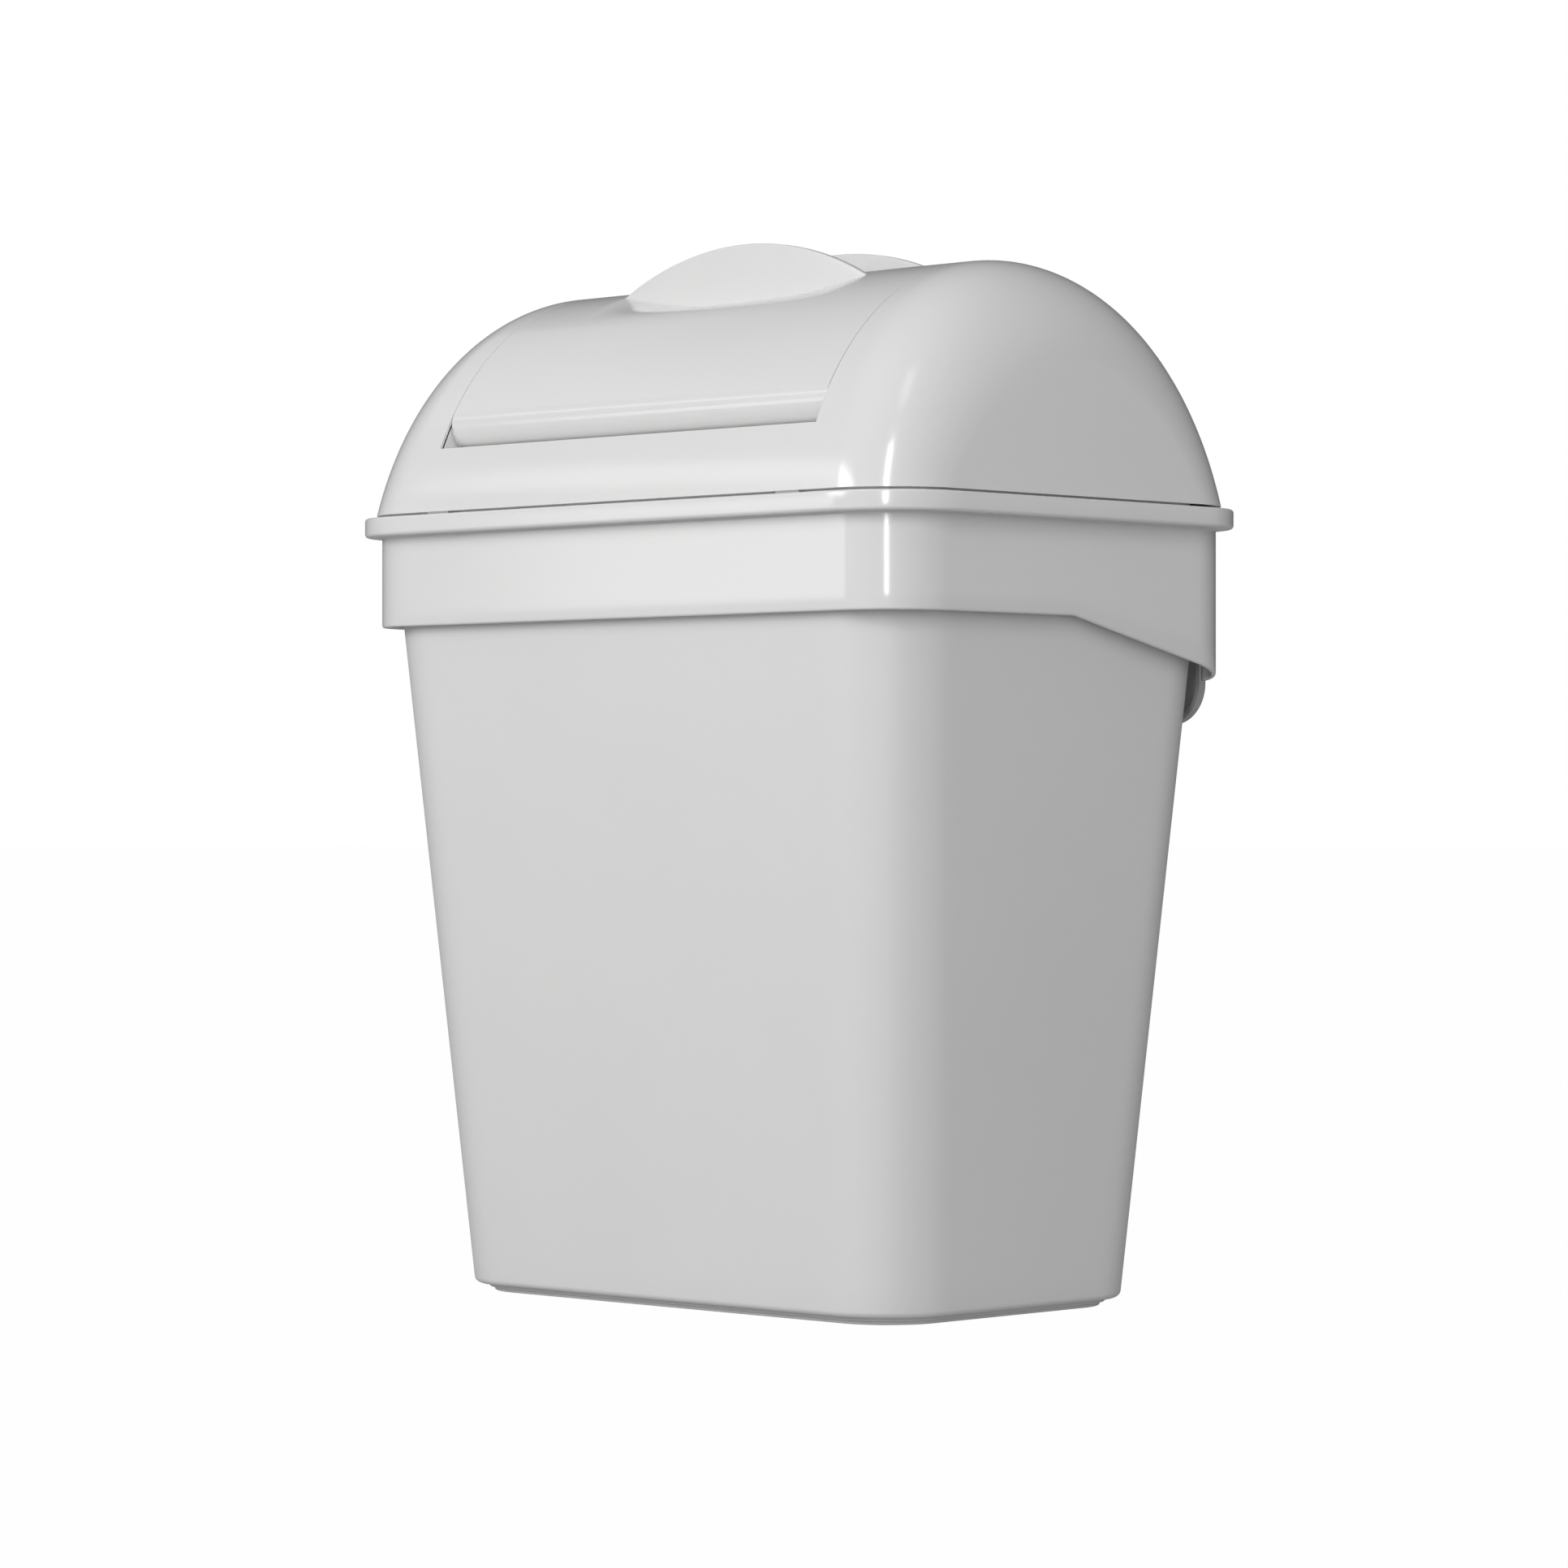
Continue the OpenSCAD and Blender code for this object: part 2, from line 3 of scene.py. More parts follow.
import bmesh
import bpy
import numpy as np
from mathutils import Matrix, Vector


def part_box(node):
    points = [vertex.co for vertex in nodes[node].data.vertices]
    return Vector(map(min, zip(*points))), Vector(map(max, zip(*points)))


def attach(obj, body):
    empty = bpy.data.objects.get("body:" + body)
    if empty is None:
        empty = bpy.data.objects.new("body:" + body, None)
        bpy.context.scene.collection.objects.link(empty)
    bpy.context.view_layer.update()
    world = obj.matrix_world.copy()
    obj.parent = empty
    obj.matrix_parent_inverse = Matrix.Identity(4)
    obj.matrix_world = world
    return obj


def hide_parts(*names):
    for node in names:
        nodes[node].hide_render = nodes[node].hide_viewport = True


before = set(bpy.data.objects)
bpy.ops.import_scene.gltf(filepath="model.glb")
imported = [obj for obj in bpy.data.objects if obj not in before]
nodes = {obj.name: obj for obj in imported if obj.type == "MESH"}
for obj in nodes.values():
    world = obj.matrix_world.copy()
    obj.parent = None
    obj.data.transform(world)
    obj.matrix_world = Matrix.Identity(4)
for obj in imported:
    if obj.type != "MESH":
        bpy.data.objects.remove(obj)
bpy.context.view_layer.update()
scene = bpy.context.scene

MM = 0.001

# ---------------------------------------------------------------- sizes, in millimetres

bucket_low, bucket_high = [np.array(v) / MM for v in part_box("bucket")]
collar_low, collar_high = [np.array(v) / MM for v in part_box("collar")]
dome_low, dome_high = [np.array(v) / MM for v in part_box("dome")]
flap_high = np.array(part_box("flap")[1]) / MM
grip_low, grip_high = [np.array(v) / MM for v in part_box("front_grip")]

CLEARANCE = 0.3

BUCKET_TOP = bucket_high[2]
BUCKET_HALF = (bucket_high[0], -bucket_low[1])
BUCKET_DRAFT = 4.4
BUCKET_RUN = math.tan(math.radians(BUCKET_DRAFT))
BUCKET_CORNER = 40.0
BUCKET_WALL = 2.5
RIM_T = 5.5
RIM_H = 9.0
RIM_TAPER = 3.0
RING_FOOT = bucket_low[2]
RING_INSET = 7.0
RING_WIDTH = 8.0
RING_STEP_IN = 2.5
RING_STEP_UP = 2.0
FLOOR_Z = RING_FOOT + 4.0
FLOOR_T = 2.5
FLOOR_FILLET = 12.0
FLOOR_LOOP = 40.0

FLANGE_HALF = (collar_high[0], -collar_low[1])
FLANGE_OUT = 9.3
FLANGE_H = 10.2
LEDGE_T = 2.5
LEDGE_REACH = 16.5
FLANGE_TOP = BUCKET_TOP + CLEARANCE + LEDGE_T
FLANGE_UNDER = FLANGE_TOP - FLANGE_H
SKIRT_HALF = (FLANGE_HALF[0] - FLANGE_OUT, FLANGE_HALF[1] - FLANGE_OUT)
SKIRT_CORNER = 36.7
SKIRT_WALL = 2.5
SKIRT_H = 48.8
SKIRT_FOOT = FLANGE_UNDER - SKIRT_H
SKIRT_DROP = 31.0
NOTCH_HALF = 175.0
NOTCH_BAND = 5.0
NOTCH_TOP = FLANGE_UNDER - NOTCH_BAND
NOTCH_DEPTH = 8.0

LUG_X = 80.0
LUG_W = 46.0
LUG_ROOT = 6.0
LUG_SHELF_T = 3.0
LUG_LIP_T = 2.5
LUG_LIP_H = 15.0
LUG_UNDER = FLANGE_UNDER - 34.0
BRACKET_T = 3.0
BRACKET_GAP = 1.0
LUG_LIP_Y = FLANGE_HALF[1] - BRACKET_T - BRACKET_GAP - LUG_LIP_T

LID_HALF_X = dome_high[0]
LID_FOOT = dome_low[2]
LID_CREST = dome_high[2]
LID_WALL = 2.5
LID_OVERHANG = 3.0
LID_FOOT_Y = SKIRT_HALF[1] + LID_OVERHANG
ARCH_BELOW = 34.6
ARCH_Z = LID_FOOT - ARCH_BELOW
ARCH_H = LID_CREST - ARCH_Z
ARCH_A = LID_FOOT_Y / math.sqrt(1 - (ARCH_BELOW / ARCH_H) ** 2)
END_FOOT_R = 39.7
END_CREST_R = 58.0
SILL_Z = LID_FOOT + 34.4
OPENING_HALF = 140.0
CHEEK_T = 3.0
CHEEK_DEPTH = 20.0
CHEEK_BELOW = 6.0
PIVOT_Z = LID_CREST - 16.0
BOSS_R = 7.5
BOSS_BORE_R = 4.5
BOSS_L = 10.0
BOSS_COVER = 11.0

UPSTAND_INSET = LID_WALL + 1.8
UPSTAND_T = 2.0
UPSTAND_H = 5.0
UPSTAND_ROOT = 1.5
UPSTAND_END = 40.0

FLAP_SPARE = 0.25
FLAP_HALF = flap_high[0] + FLAP_SPARE
ROLL_START_Z = SILL_Z + 20.0
ROLL_R = 14.4
ROLL_TURN = math.radians(100)
LUG_EYE_R = 8.0
LUG_BORE_R = 3.0
FLAP_LUG_IN = 1.0
FLAP_LUG_L = 12.0
FLAP_LUG_SUNK = 1.6
SHELF_CLEAR = 1.2
SHELF_OVERLAP = 1.5

GRIP_Y = -grip_low[1]
GRIP_T = 4.0
GRIP_HALF = 90.0
GRIP_TOP = grip_high[2]
GRIP_ROUND = 0.9
GRIP_SUNK = 1.2
GRIP_TIP_H = 0.05
HOLLOW_DEPTH = 9.5
HOLLOW_REACH = 33.0
HOLLOW_FADE = 1.05
HOLLOW_MARGIN = 0.6


def arch_height(y):
    """Height of the lid's arch at a distance y from the crest line: an ellipse of half-width ARCH_A and
    half-height ARCH_H."""
    return ARCH_Z + ARCH_H * np.sqrt(np.maximum(0, 1 - (y / ARCH_A) ** 2))


def arch_reach(z):
    """Distance of the lid's arch from the crest line at height z, the inverse of arch_height."""
    return ARCH_A * np.sqrt(np.maximum(0, 1 - ((z - ARCH_Z) / ARCH_H) ** 2))


def arch_angle(z, inset=0.0):
    """Angle on the arch's ellipse, moved inwards by inset, at which it reaches height z."""
    return math.asin((z - ARCH_Z) / (ARCH_H - inset))


# ---------------------------------------------------------------- mesh helpers

def smoothstep(t):
    """Cubic that rises from 0 to 1 with level ends: 3 t squared - 2 t cubed."""
    t = np.clip(t, 0, 1)
    return t * t * (3 - 2 * t)


def add_mesh(name, verts, faces, body, material, stands_for=()):
    """Makes a mesh piece from an (n, 3) array in millimetres, smooth-shaded, riding on a body."""
    points = np.asarray(verts, float).reshape(-1, 3) * MM
    mesh = bpy.data.meshes.new(name)
    mesh.from_pydata(points.tolist(), [], [list(map(int, f)) for f in faces])
    mesh.validate()
    mesh.polygons.foreach_set("use_smooth", np.ones(len(mesh.polygons), bool))
    mesh.materials.append(material)
    piece = bpy.data.objects.new(name, mesh)
    scene.collection.objects.link(piece)
    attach(piece, body)
    if stands_for:
        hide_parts(*stands_for)
    return piece


def quads(rows, cols, wrap_cols=False, wrap_rows=False):
    """Quad faces of a grid of rows by cols points, row after row; either direction can close on itself."""
    r = np.arange(rows if wrap_rows else rows - 1)
    c = np.arange(cols if wrap_cols else cols - 1)
    r, c = np.meshgrid(r, c, indexing="ij")
    a = r * cols + c
    b = r * cols + (c + 1) % cols
    d = ((r + 1) % rows) * cols + c
    e = ((r + 1) % rows) * cols + (c + 1) % cols
    return np.stack([a, b, e, d], -1).reshape(-1, 4)


def bar_faces(rows, cols):
    """Faces of a bar whose closed section runs over the rows and whose length runs over the columns, with a
    face on each end."""
    faces = quads(rows, cols, wrap_rows=True).tolist()
    faces.append([r * cols for r in range(rows)])
    faces.append([r * cols + cols - 1 for r in range(rows)])
    return faces


def make_outward(piece):
    """Merges doubles and turns every face outwards."""
    bm = bmesh.new()
    bm.from_mesh(piece.data)
    bmesh.ops.remove_doubles(bm, verts=bm.verts, dist=1e-6)
    bmesh.ops.recalc_face_normals(bm, faces=bm.faces)
    bm.to_mesh(piece.data)
    bm.free()


def turn_skin_out(piece):
    """Flips an open skin whose highest face looks down."""
    mesh = piece.data
    top = max(mesh.polygons, key=lambda f: f.center.z)
    if top.normal.z < 0:
        mesh.flip_normals()


def add_wall(piece, thickness):
    """Thickens an open skin inwards."""
    wall = piece.modifiers.new("wall", "SOLIDIFY")
    wall.thickness = thickness * MM
    wall.offset = -1
    wall.use_even_offset = False


def soften_edges(piece, width, segments=2, angle=30):
    """Rounds the edges sharper than an angle, in degrees, by a width in millimetres."""
    bevel = piece.modifiers.new("edge_radius", "BEVEL")
    bevel.width = width * MM
    bevel.segments = segments
    bevel.limit_method = "ANGLE"
    bevel.angle_limit = math.radians(angle)
    bevel.harden_normals = True


def rounded_loop(half_x, half_y, radius, arc=14, side_x=40, side_y=28):
    """Closed loops of a rectangle with round corners, anticlockwise from the start of the front right-hand
    corner. The sizes may be arrays, one value for each loop, and the result is (number of loops, points,
    2). Each corner is a quarter circle cut into arc steps, and each straight side is cut into equal
    steps."""
    hx, hy, r = np.broadcast_arrays(*[np.atleast_1d(np.asarray(v, float)) for v in (half_x, half_y, radius)])
    hx, hy, r = hx[:, None], hy[:, None], r[:, None]
    quarter = np.linspace(0, np.pi / 2, arc + 1)
    corners = ((1, -1, -np.pi / 2), (1, 1, 0), (-1, 1, np.pi / 2), (-1, -1, np.pi))
    corner_x = [sx * (hx - r) + r * np.cos(start + quarter) for sx, _, start in corners]
    corner_y = [sy * (hy - r) + r * np.sin(start + quarter) for _, sy, start in corners]
    out_x, out_y = [], []
    for k, steps in enumerate((side_y, side_x, side_y, side_x)):
        following = (k + 1) % 4
        t = np.linspace(0, 1, steps + 1)[1:-1]
        out_x.append(corner_x[k])
        out_y.append(corner_y[k])
        out_x.append(corner_x[k][:, -1:] * (1 - t) + corner_x[following][:, :1] * t)
        out_y.append(corner_y[k][:, -1:] * (1 - t) + corner_y[following][:, :1] * t)
    return np.stack([np.concatenate(out_x, 1), np.concatenate(out_y, 1)], -1)


def at_height(plan, z):
    """Gives each point of a (loops, points, 2) plan its height; z is one value a loop, in a column, or a
    full grid."""
    return np.concatenate([plan, np.broadcast_to(z, plan.shape[:2])[..., None]], -1)


def fillet_path(points, radii, steps=5):
    """Path through (offset, height) points whose corners are arcs of the given radii, cut into steps."""
    out = []
    pts = [np.array(p, float) for p in points]
    for i, p in enumerate(pts):
        r = radii[i]
        if r <= 0 or i in (0, len(pts) - 1):
            out.append(p)
            continue
        u = pts[i - 1] - p
        v = pts[i + 1] - p
        lu, lv = np.linalg.norm(u), np.linalg.norm(v)
        u, v = u / lu, v / lv
        angle = math.acos(np.clip(u @ v, -1, 1))
        cut = min(r / math.tan(angle / 2), 0.49 * lu, 0.49 * lv)
        r = cut * math.tan(angle / 2)
        centre = p + (u + v) / np.linalg.norm(u + v) * r / math.sin(angle / 2)
        a = p + u * cut - centre
        b = p + v * cut - centre
        sweep = math.atan2(a[0] * b[1] - a[1] * b[0], a @ b)
        t = np.linspace(0, sweep, steps + 1)
        turned = [a[0] * np.cos(t) - a[1] * np.sin(t), a[0] * np.sin(t) + a[1] * np.cos(t)]
        out.extend(centre + np.stack(turned, -1))
    return np.array(out)


def densify(path, step):
    """Cuts each stretch of a path that is longer than step into equal stretches no longer than step."""
    out = [path[0]]
    for a, b in zip(path[:-1], path[1:]):
        n = max(1, int(math.ceil(np.linalg.norm(b - a) / step)))
        out.extend(a + (b - a) * np.linspace(0, 1, n + 1)[1:, None])
    return np.array(out)


def box_piece(name, low, high, radius, body, material):
    """Block between two corners, with its edges rounded."""
    low, high = np.array(low, float), np.array(high, float)
    corner = np.array([[x, y, z] for x in (0, 1) for y in (0, 1) for z in (0, 1)], float)
    verts = low + corner * (high - low)
    faces = [(0, 1, 3, 2), (4, 6, 7, 5), (0, 4, 5, 1), (2, 3, 7, 6), (0, 2, 6, 4), (1, 5, 7, 3)]
    piece = add_mesh(name, verts, faces, body, material)
    make_outward(piece)
    soften_edges(piece, radius, segments=3)
    return piece


def ring_piece(name, r_in, r_out, x_in, x_out, side, body, material):
    """Sleeve on the pivot axis: a rounded rectangular section turned about X."""
    seam = ((r_in + r_out) / 2, x_in)
    section = fillet_path([seam, (r_out, x_in), (r_out, x_out), (r_in, x_out), (r_in, x_in), seam],
                          [0, 0.3, 0.3, 0.3, 0.3, 0], steps=3)[:-1]
    turn = np.linspace(0, 2 * np.pi, 49)[:-1]
    r = section[:, :1]
    x = np.broadcast_to(side * section[:, 1:], (len(section), len(turn)))
    grid = np.stack([x, r * np.cos(turn), PIVOT_Z + r * np.sin(turn)], -1)
    faces = quads(len(section), len(turn), wrap_cols=True, wrap_rows=True)
    piece = add_mesh(name, grid, faces, body, material)
    make_outward(piece)
    return piece


# ---------------------------------------------------------------- material helpers

MIX_COLOUR_A, MIX_COLOUR_B, MIX_COLOUR_RESULT = 6, 7, 2
MIX_FLOAT_A, MIX_FLOAT_B, MIX_FLOAT_RESULT = 2, 3, 0


def feed(tree, into, value):
    """Links an output socket into an input, or sets the input to a plain value."""
    if isinstance(value, bpy.types.NodeSocket):
        tree.links.new(value, into)
    else:
        into.default_value = value


def maths(tree, operation, *terms):
    """Math node over numbers and output sockets."""
    node = tree.nodes.new("ShaderNodeMath")
    node.operation = operation
    for into, term in zip(node.inputs, terms):
        feed(tree, into, term)
    return node.outputs[0]


def noise(tree, place, scale, detail):
    """Noise texture over a place."""
    node = tree.nodes.new("ShaderNodeTexNoise")
    feed(tree, node.inputs["Vector"], place)
    feed(tree, node.inputs["Scale"], scale)
    node.inputs["Detail"].default_value = detail
    return node.outputs["Fac"]


def carry_range(tree, value, low, high, to_low, to_high):
    """Map Range node, from low and high to to_low and to_high."""
    node = tree.nodes.new("ShaderNodeMapRange")
    feed(tree, node.inputs["Value"], value)
    for name, number in (("From Min", low), ("From Max", high), ("To Min", to_low), ("To Max", to_high)):
        node.inputs[name].default_value = number
    return node.outputs["Result"]


def mix_colours(tree, share, a, b):
    """Mix node from colour a to colour b."""
    node = tree.nodes.new("ShaderNodeMix")
    node.data_type = "RGBA"
    feed(tree, node.inputs["Factor"], share)
    feed(tree, node.inputs[MIX_COLOUR_A], a)
    feed(tree, node.inputs[MIX_COLOUR_B], b)
    return node.outputs[MIX_COLOUR_RESULT]


def bump(tree, height, distance):
    """Bump node for a height texture whose full depth is a distance in millimetres."""
    node = tree.nodes.new("ShaderNodeBump")
    node.inputs["Strength"].default_value = 1.0
    node.inputs["Distance"].default_value = distance * MM
    feed(tree, node.inputs["Height"], height)
    return node.outputs["Normal"]


def new_material(name):
    """Material with nodes, and its tree and its Principled shader."""
    m = bpy.data.materials.new(name)
    m.use_nodes = True
    return m, m.node_tree, m.node_tree.nodes["Principled BSDF"]


def moulded_skin_group():
    """Group for injection-moulded plastic: faint flow clouds in the colour and the gloss, a fine grain and
    a long soft ripple in the surface, and a paler rub along edges and raised spots."""
    g = bpy.data.node_groups.new("moulded_skin", "ShaderNodeTree")
    starts = {"Tint": (0.8, 0.8, 0.8, 1), "Rub tint": (0.9, 0.9, 0.9, 1), "Cloud": 0.03, "Roughness": 0.3,
              "Grain size": 900.0, "Ripple": 0.1}
    for name, start in starts.items():
        kind = "NodeSocketColor" if "tint" in name.lower() else "NodeSocketFloat"
        g.interface.new_socket(name=name, in_out="INPUT", socket_type=kind).default_value = start
    results = {"Colour": "NodeSocketColor", "Gloss": "NodeSocketFloat", "Height": "NodeSocketFloat"}
    for name, kind in results.items():
        g.interface.new_socket(name=name, in_out="OUTPUT", socket_type=kind)
    take = g.nodes.new("NodeGroupInput").outputs
    give = g.nodes.new("NodeGroupOutput").inputs
    place = g.nodes.new("ShaderNodeTexCoord").outputs["Object"]
    cloud = carry_range(g, noise(g, place, 9.0, 4.0), 0.3, 0.7, -1.0, 1.0)
    amount = maths(g, "MULTIPLY", cloud, take["Cloud"])
    tone = g.nodes.new("ShaderNodeHueSaturation")
    feed(g, tone.inputs["Color"], take["Tint"])
    feed(g, tone.inputs["Value"], maths(g, "ADD", amount, 1.0))
    edge = g.nodes.new("ShaderNodeNewGeometry").outputs["Pointiness"]
    rub = carry_range(g, edge, 0.52, 0.62, 0.0, 0.5)
    feed(g, give["Colour"], mix_colours(g, rub, tone.outputs["Color"], take["Rub tint"]))
    feed(g, give["Gloss"], maths(g, "MULTIPLY_ADD", amount, 1.2, take["Roughness"]))
    ripple = maths(g, "MULTIPLY", noise(g, place, 14.0, 1.0), take["Ripple"])
    grain = noise(g, place, take["Grain size"], 2.0)
    feed(g, give["Height"], maths(g, "MULTIPLY_ADD", grain, 0.02, ripple))
    return g


SKIN = moulded_skin_group()


def plastic(name, tint, rub_tint, roughness, grain, ripple, bump_mm, coat=0.0, cloud=0.02):
    """Moulded plastic: the shared skin group into a Principled shader, with a clear gloss on top where
    wanted."""
    m, tree, shader = new_material(name)
    skin = tree.nodes.new("ShaderNodeGroup")
    skin.node_tree = SKIN
    own = {"Tint": (*tint, 1), "Rub tint": (*rub_tint, 1), "Roughness": roughness, "Grain size": grain,
           "Ripple": ripple, "Cloud": cloud}
    for socket, value in own.items():
        skin.inputs[socket].default_value = value
    feed(tree, shader.inputs["Base Color"], skin.outputs["Colour"])
    feed(tree, shader.inputs["Roughness"], skin.outputs["Gloss"])
    feed(tree, shader.inputs["Normal"], bump(tree, skin.outputs["Height"], bump_mm))
    shader.inputs["IOR"].default_value = 1.49
    shader.inputs["Coat Weight"].default_value = coat
    shader.inputs["Coat Roughness"].default_value = 0.12
    return m


def white_gloss(name):
    """The white, polished plastic of the collar and the lid."""
    return plastic(name, (0.74, 0.74, 0.737), (0.80, 0.80, 0.797), roughness=0.17, grain=1100.0, ripple=0.1,
                   bump_mm=0.2, coat=0.3, cloud=0.008)


def turned_steel(name):
    """Turned steel pin: fine rings around the X axis from a wave texture, which also vary the roughness."""
    m, tree, shader = new_material(name)
    shader.inputs["Metallic"].default_value = 1.0
    place = tree.nodes.new("ShaderNodeTexCoord").outputs["Object"]
    wave = tree.nodes.new("ShaderNodeTexWave")
    wave.bands_direction = "X"
    wave.inputs["Scale"].default_value = 900.0
    wave.inputs["Distortion"].default_value = 1.5
    feed(tree, wave.inputs["Vector"], place)
    rings = wave.outputs["Fac"]
    feed(tree, shader.inputs["Roughness"], carry_range(tree, rings, 0.0, 1.0, 0.22, 0.38))
    dark, pale = (0.50, 0.50, 0.51, 1), (0.62, 0.62, 0.63, 1)
    feed(tree, shader.inputs["Base Color"], mix_colours(tree, rings, dark, pale))
    feed(tree, shader.inputs["Normal"], bump(tree, rings, 0.02))
    return m


WHITE_BODY = plastic("bucket_plastic_white", (0.72, 0.72, 0.717), (0.78, 0.78, 0.777),
                     roughness=0.36, grain=900.0, ripple=0.15, bump_mm=0.3, cloud=0.008)
WHITE_COLLAR = white_gloss("collar_plastic_white")
WHITE_LID = white_gloss("lid_plastic_white")
GREY_BRACKET = plastic("bracket_plastic_grey", (0.40, 0.40, 0.395), (0.48, 0.48, 0.475),
                       roughness=0.55, grain=700.0, ripple=0.3, bump_mm=0.6)
BUSH_PLASTIC = plastic("bush_plastic_ivory", (0.72, 0.71, 0.66), (0.8, 0.79, 0.74),
                       roughness=0.42, grain=1500.0, ripple=0.1, bump_mm=0.2)
# The lid buffers are black rubber; the grey given them here is the tone of the shaded gap around them, so it is
# painted shade and not the rubber's own colour.
BUFFER_GAP_SHADE = plastic("buffer_gap_shade_grey", (0.30, 0.30, 0.30), (0.36, 0.36, 0.36),
                        roughness=0.6, grain=1400.0, ripple=0.2, bump_mm=0.8, cloud=0.05)
RUBBER = plastic("foot_rubber_black", (0.025, 0.025, 0.027), (0.06, 0.06, 0.06),
                 roughness=0.75, grain=1400.0, ripple=0.2, bump_mm=1.2, cloud=0.1)
PIN_STEEL = turned_steel("pin_steel_turned")

# ---------------------------------------------------------------- bucket

def bucket_run_in(z):
    """How far a bucket wall has come in at height z: the draft slope times the depth below the rim."""
    return (BUCKET_TOP - z) * BUCKET_RUN


def build_bucket():
    """Tub: one closed surface of stacked rounded rectangles. Its profile of (inwards, height) runs from the
    floor's underside out over the two steps of the foot ring, up the tapered wall, over the thick rim, and
    down inside to the floor. The corners keep one radius up the wall, and shrink only where a loop lies
    inside its line."""
    corner_shrink = 0.72
    least_corner = 0.5
    ring = bucket_run_in(FLOOR_Z) + RING_INSET
    rim_low = BUCKET_TOP - RIM_H
    wall_top = rim_low - RIM_TAPER
    floor_top = FLOOR_Z + FLOOR_T
    path = fillet_path(
        [(ring + FLOOR_LOOP, FLOOR_Z), (ring + RING_WIDTH, FLOOR_Z), (ring + RING_WIDTH, RING_FOOT),
         (ring + RING_STEP_IN, RING_FOOT), (ring + RING_STEP_IN, RING_FOOT + RING_STEP_UP),
         (ring, RING_FOOT + RING_STEP_UP), (ring, FLOOR_Z), (bucket_run_in(FLOOR_Z), FLOOR_Z),
         (0.0, BUCKET_TOP), (RIM_T, BUCKET_TOP), (bucket_run_in(rim_low) + RIM_T, rim_low),
         (bucket_run_in(wall_top) + BUCKET_WALL, wall_top),
         (bucket_run_in(floor_top) + BUCKET_WALL, floor_top), (ring + FLOOR_LOOP, floor_top)],
        [0, 0.4, 0.5, 0.7, 0.3, 0.7, 0.4, FLOOR_FILLET, 0.8, 0.8, 0.5, 1.0, FLOOR_FILLET - BUCKET_WALL, 0],
        steps=8)
    path = densify(path, step=12.0)
    inward, height = path[:, 0], path[:, 1]
    past_wall = np.maximum(inward - bucket_run_in(height), 0)
    corner = np.maximum(BUCKET_CORNER - past_wall * corner_shrink, least_corner)
    loops = at_height(rounded_loop(BUCKET_HALF[0] - inward, BUCKET_HALF[1] - inward, corner), height[:, None])
    rows, cols = loops.shape[:2]
    faces = quads(rows, cols, wrap_cols=True).tolist()
    faces.append(list(range(cols)))
    faces.append([(rows - 1) * cols + i for i in range(cols)])
    piece = add_mesh("bucket_shell", loops, faces, "bucket", WHITE_BODY, ("bucket",))
    make_outward(piece)


def build_bucket_lug(side, word):
    """Hook on the bucket's back wall: a shelf that stands out from the wall and a lip that hangs from its
    end."""
    left, right = side * LUG_X - LUG_W / 2, side * LUG_X + LUG_W / 2
    top = (right, LUG_LIP_Y + LUG_LIP_T, LUG_UNDER + LUG_SHELF_T)
    box_piece("bucket_lug_shelf_" + word, (left, BUCKET_HALF[1] - LUG_ROOT, LUG_UNDER), top, 0.5,
              "bucket", WHITE_BODY)
    box_piece("bucket_lug_lip_" + word, (left, LUG_LIP_Y, LUG_UNDER - LUG_LIP_H), top, 0.5,
              "bucket", WHITE_BODY)


build_bucket()
for side, word in ((-1, "left"), (1, "right")):
    build_bucket_lug(side, word)

# ---------------------------------------------------------------- collar

def skirt_foot(x, y):
    """Height of the skirt's lower edge: level at the front, falling in a straight line behind the middle,
    and raised to a narrow band where the back wall is open."""
    slope = SKIRT_DROP / SKIRT_HALF[1]
    line = SKIRT_FOOT - slope * np.maximum(y, 0)
    back = (np.abs(x) < NOTCH_HALF) & (y > SKIRT_HALF[1] - NOTCH_DEPTH)
    return np.where(back, NOTCH_TOP, line)


def collar_plan(inward):
    """The skirt's outer outline, a rounded rectangle, moved inwards."""
    corner = np.maximum(SKIRT_CORNER - inward, 1.0)
    return rounded_loop(SKIRT_HALF[0] - inward, SKIRT_HALF[1] - inward, corner, arc=20, side_x=48, side_y=40)


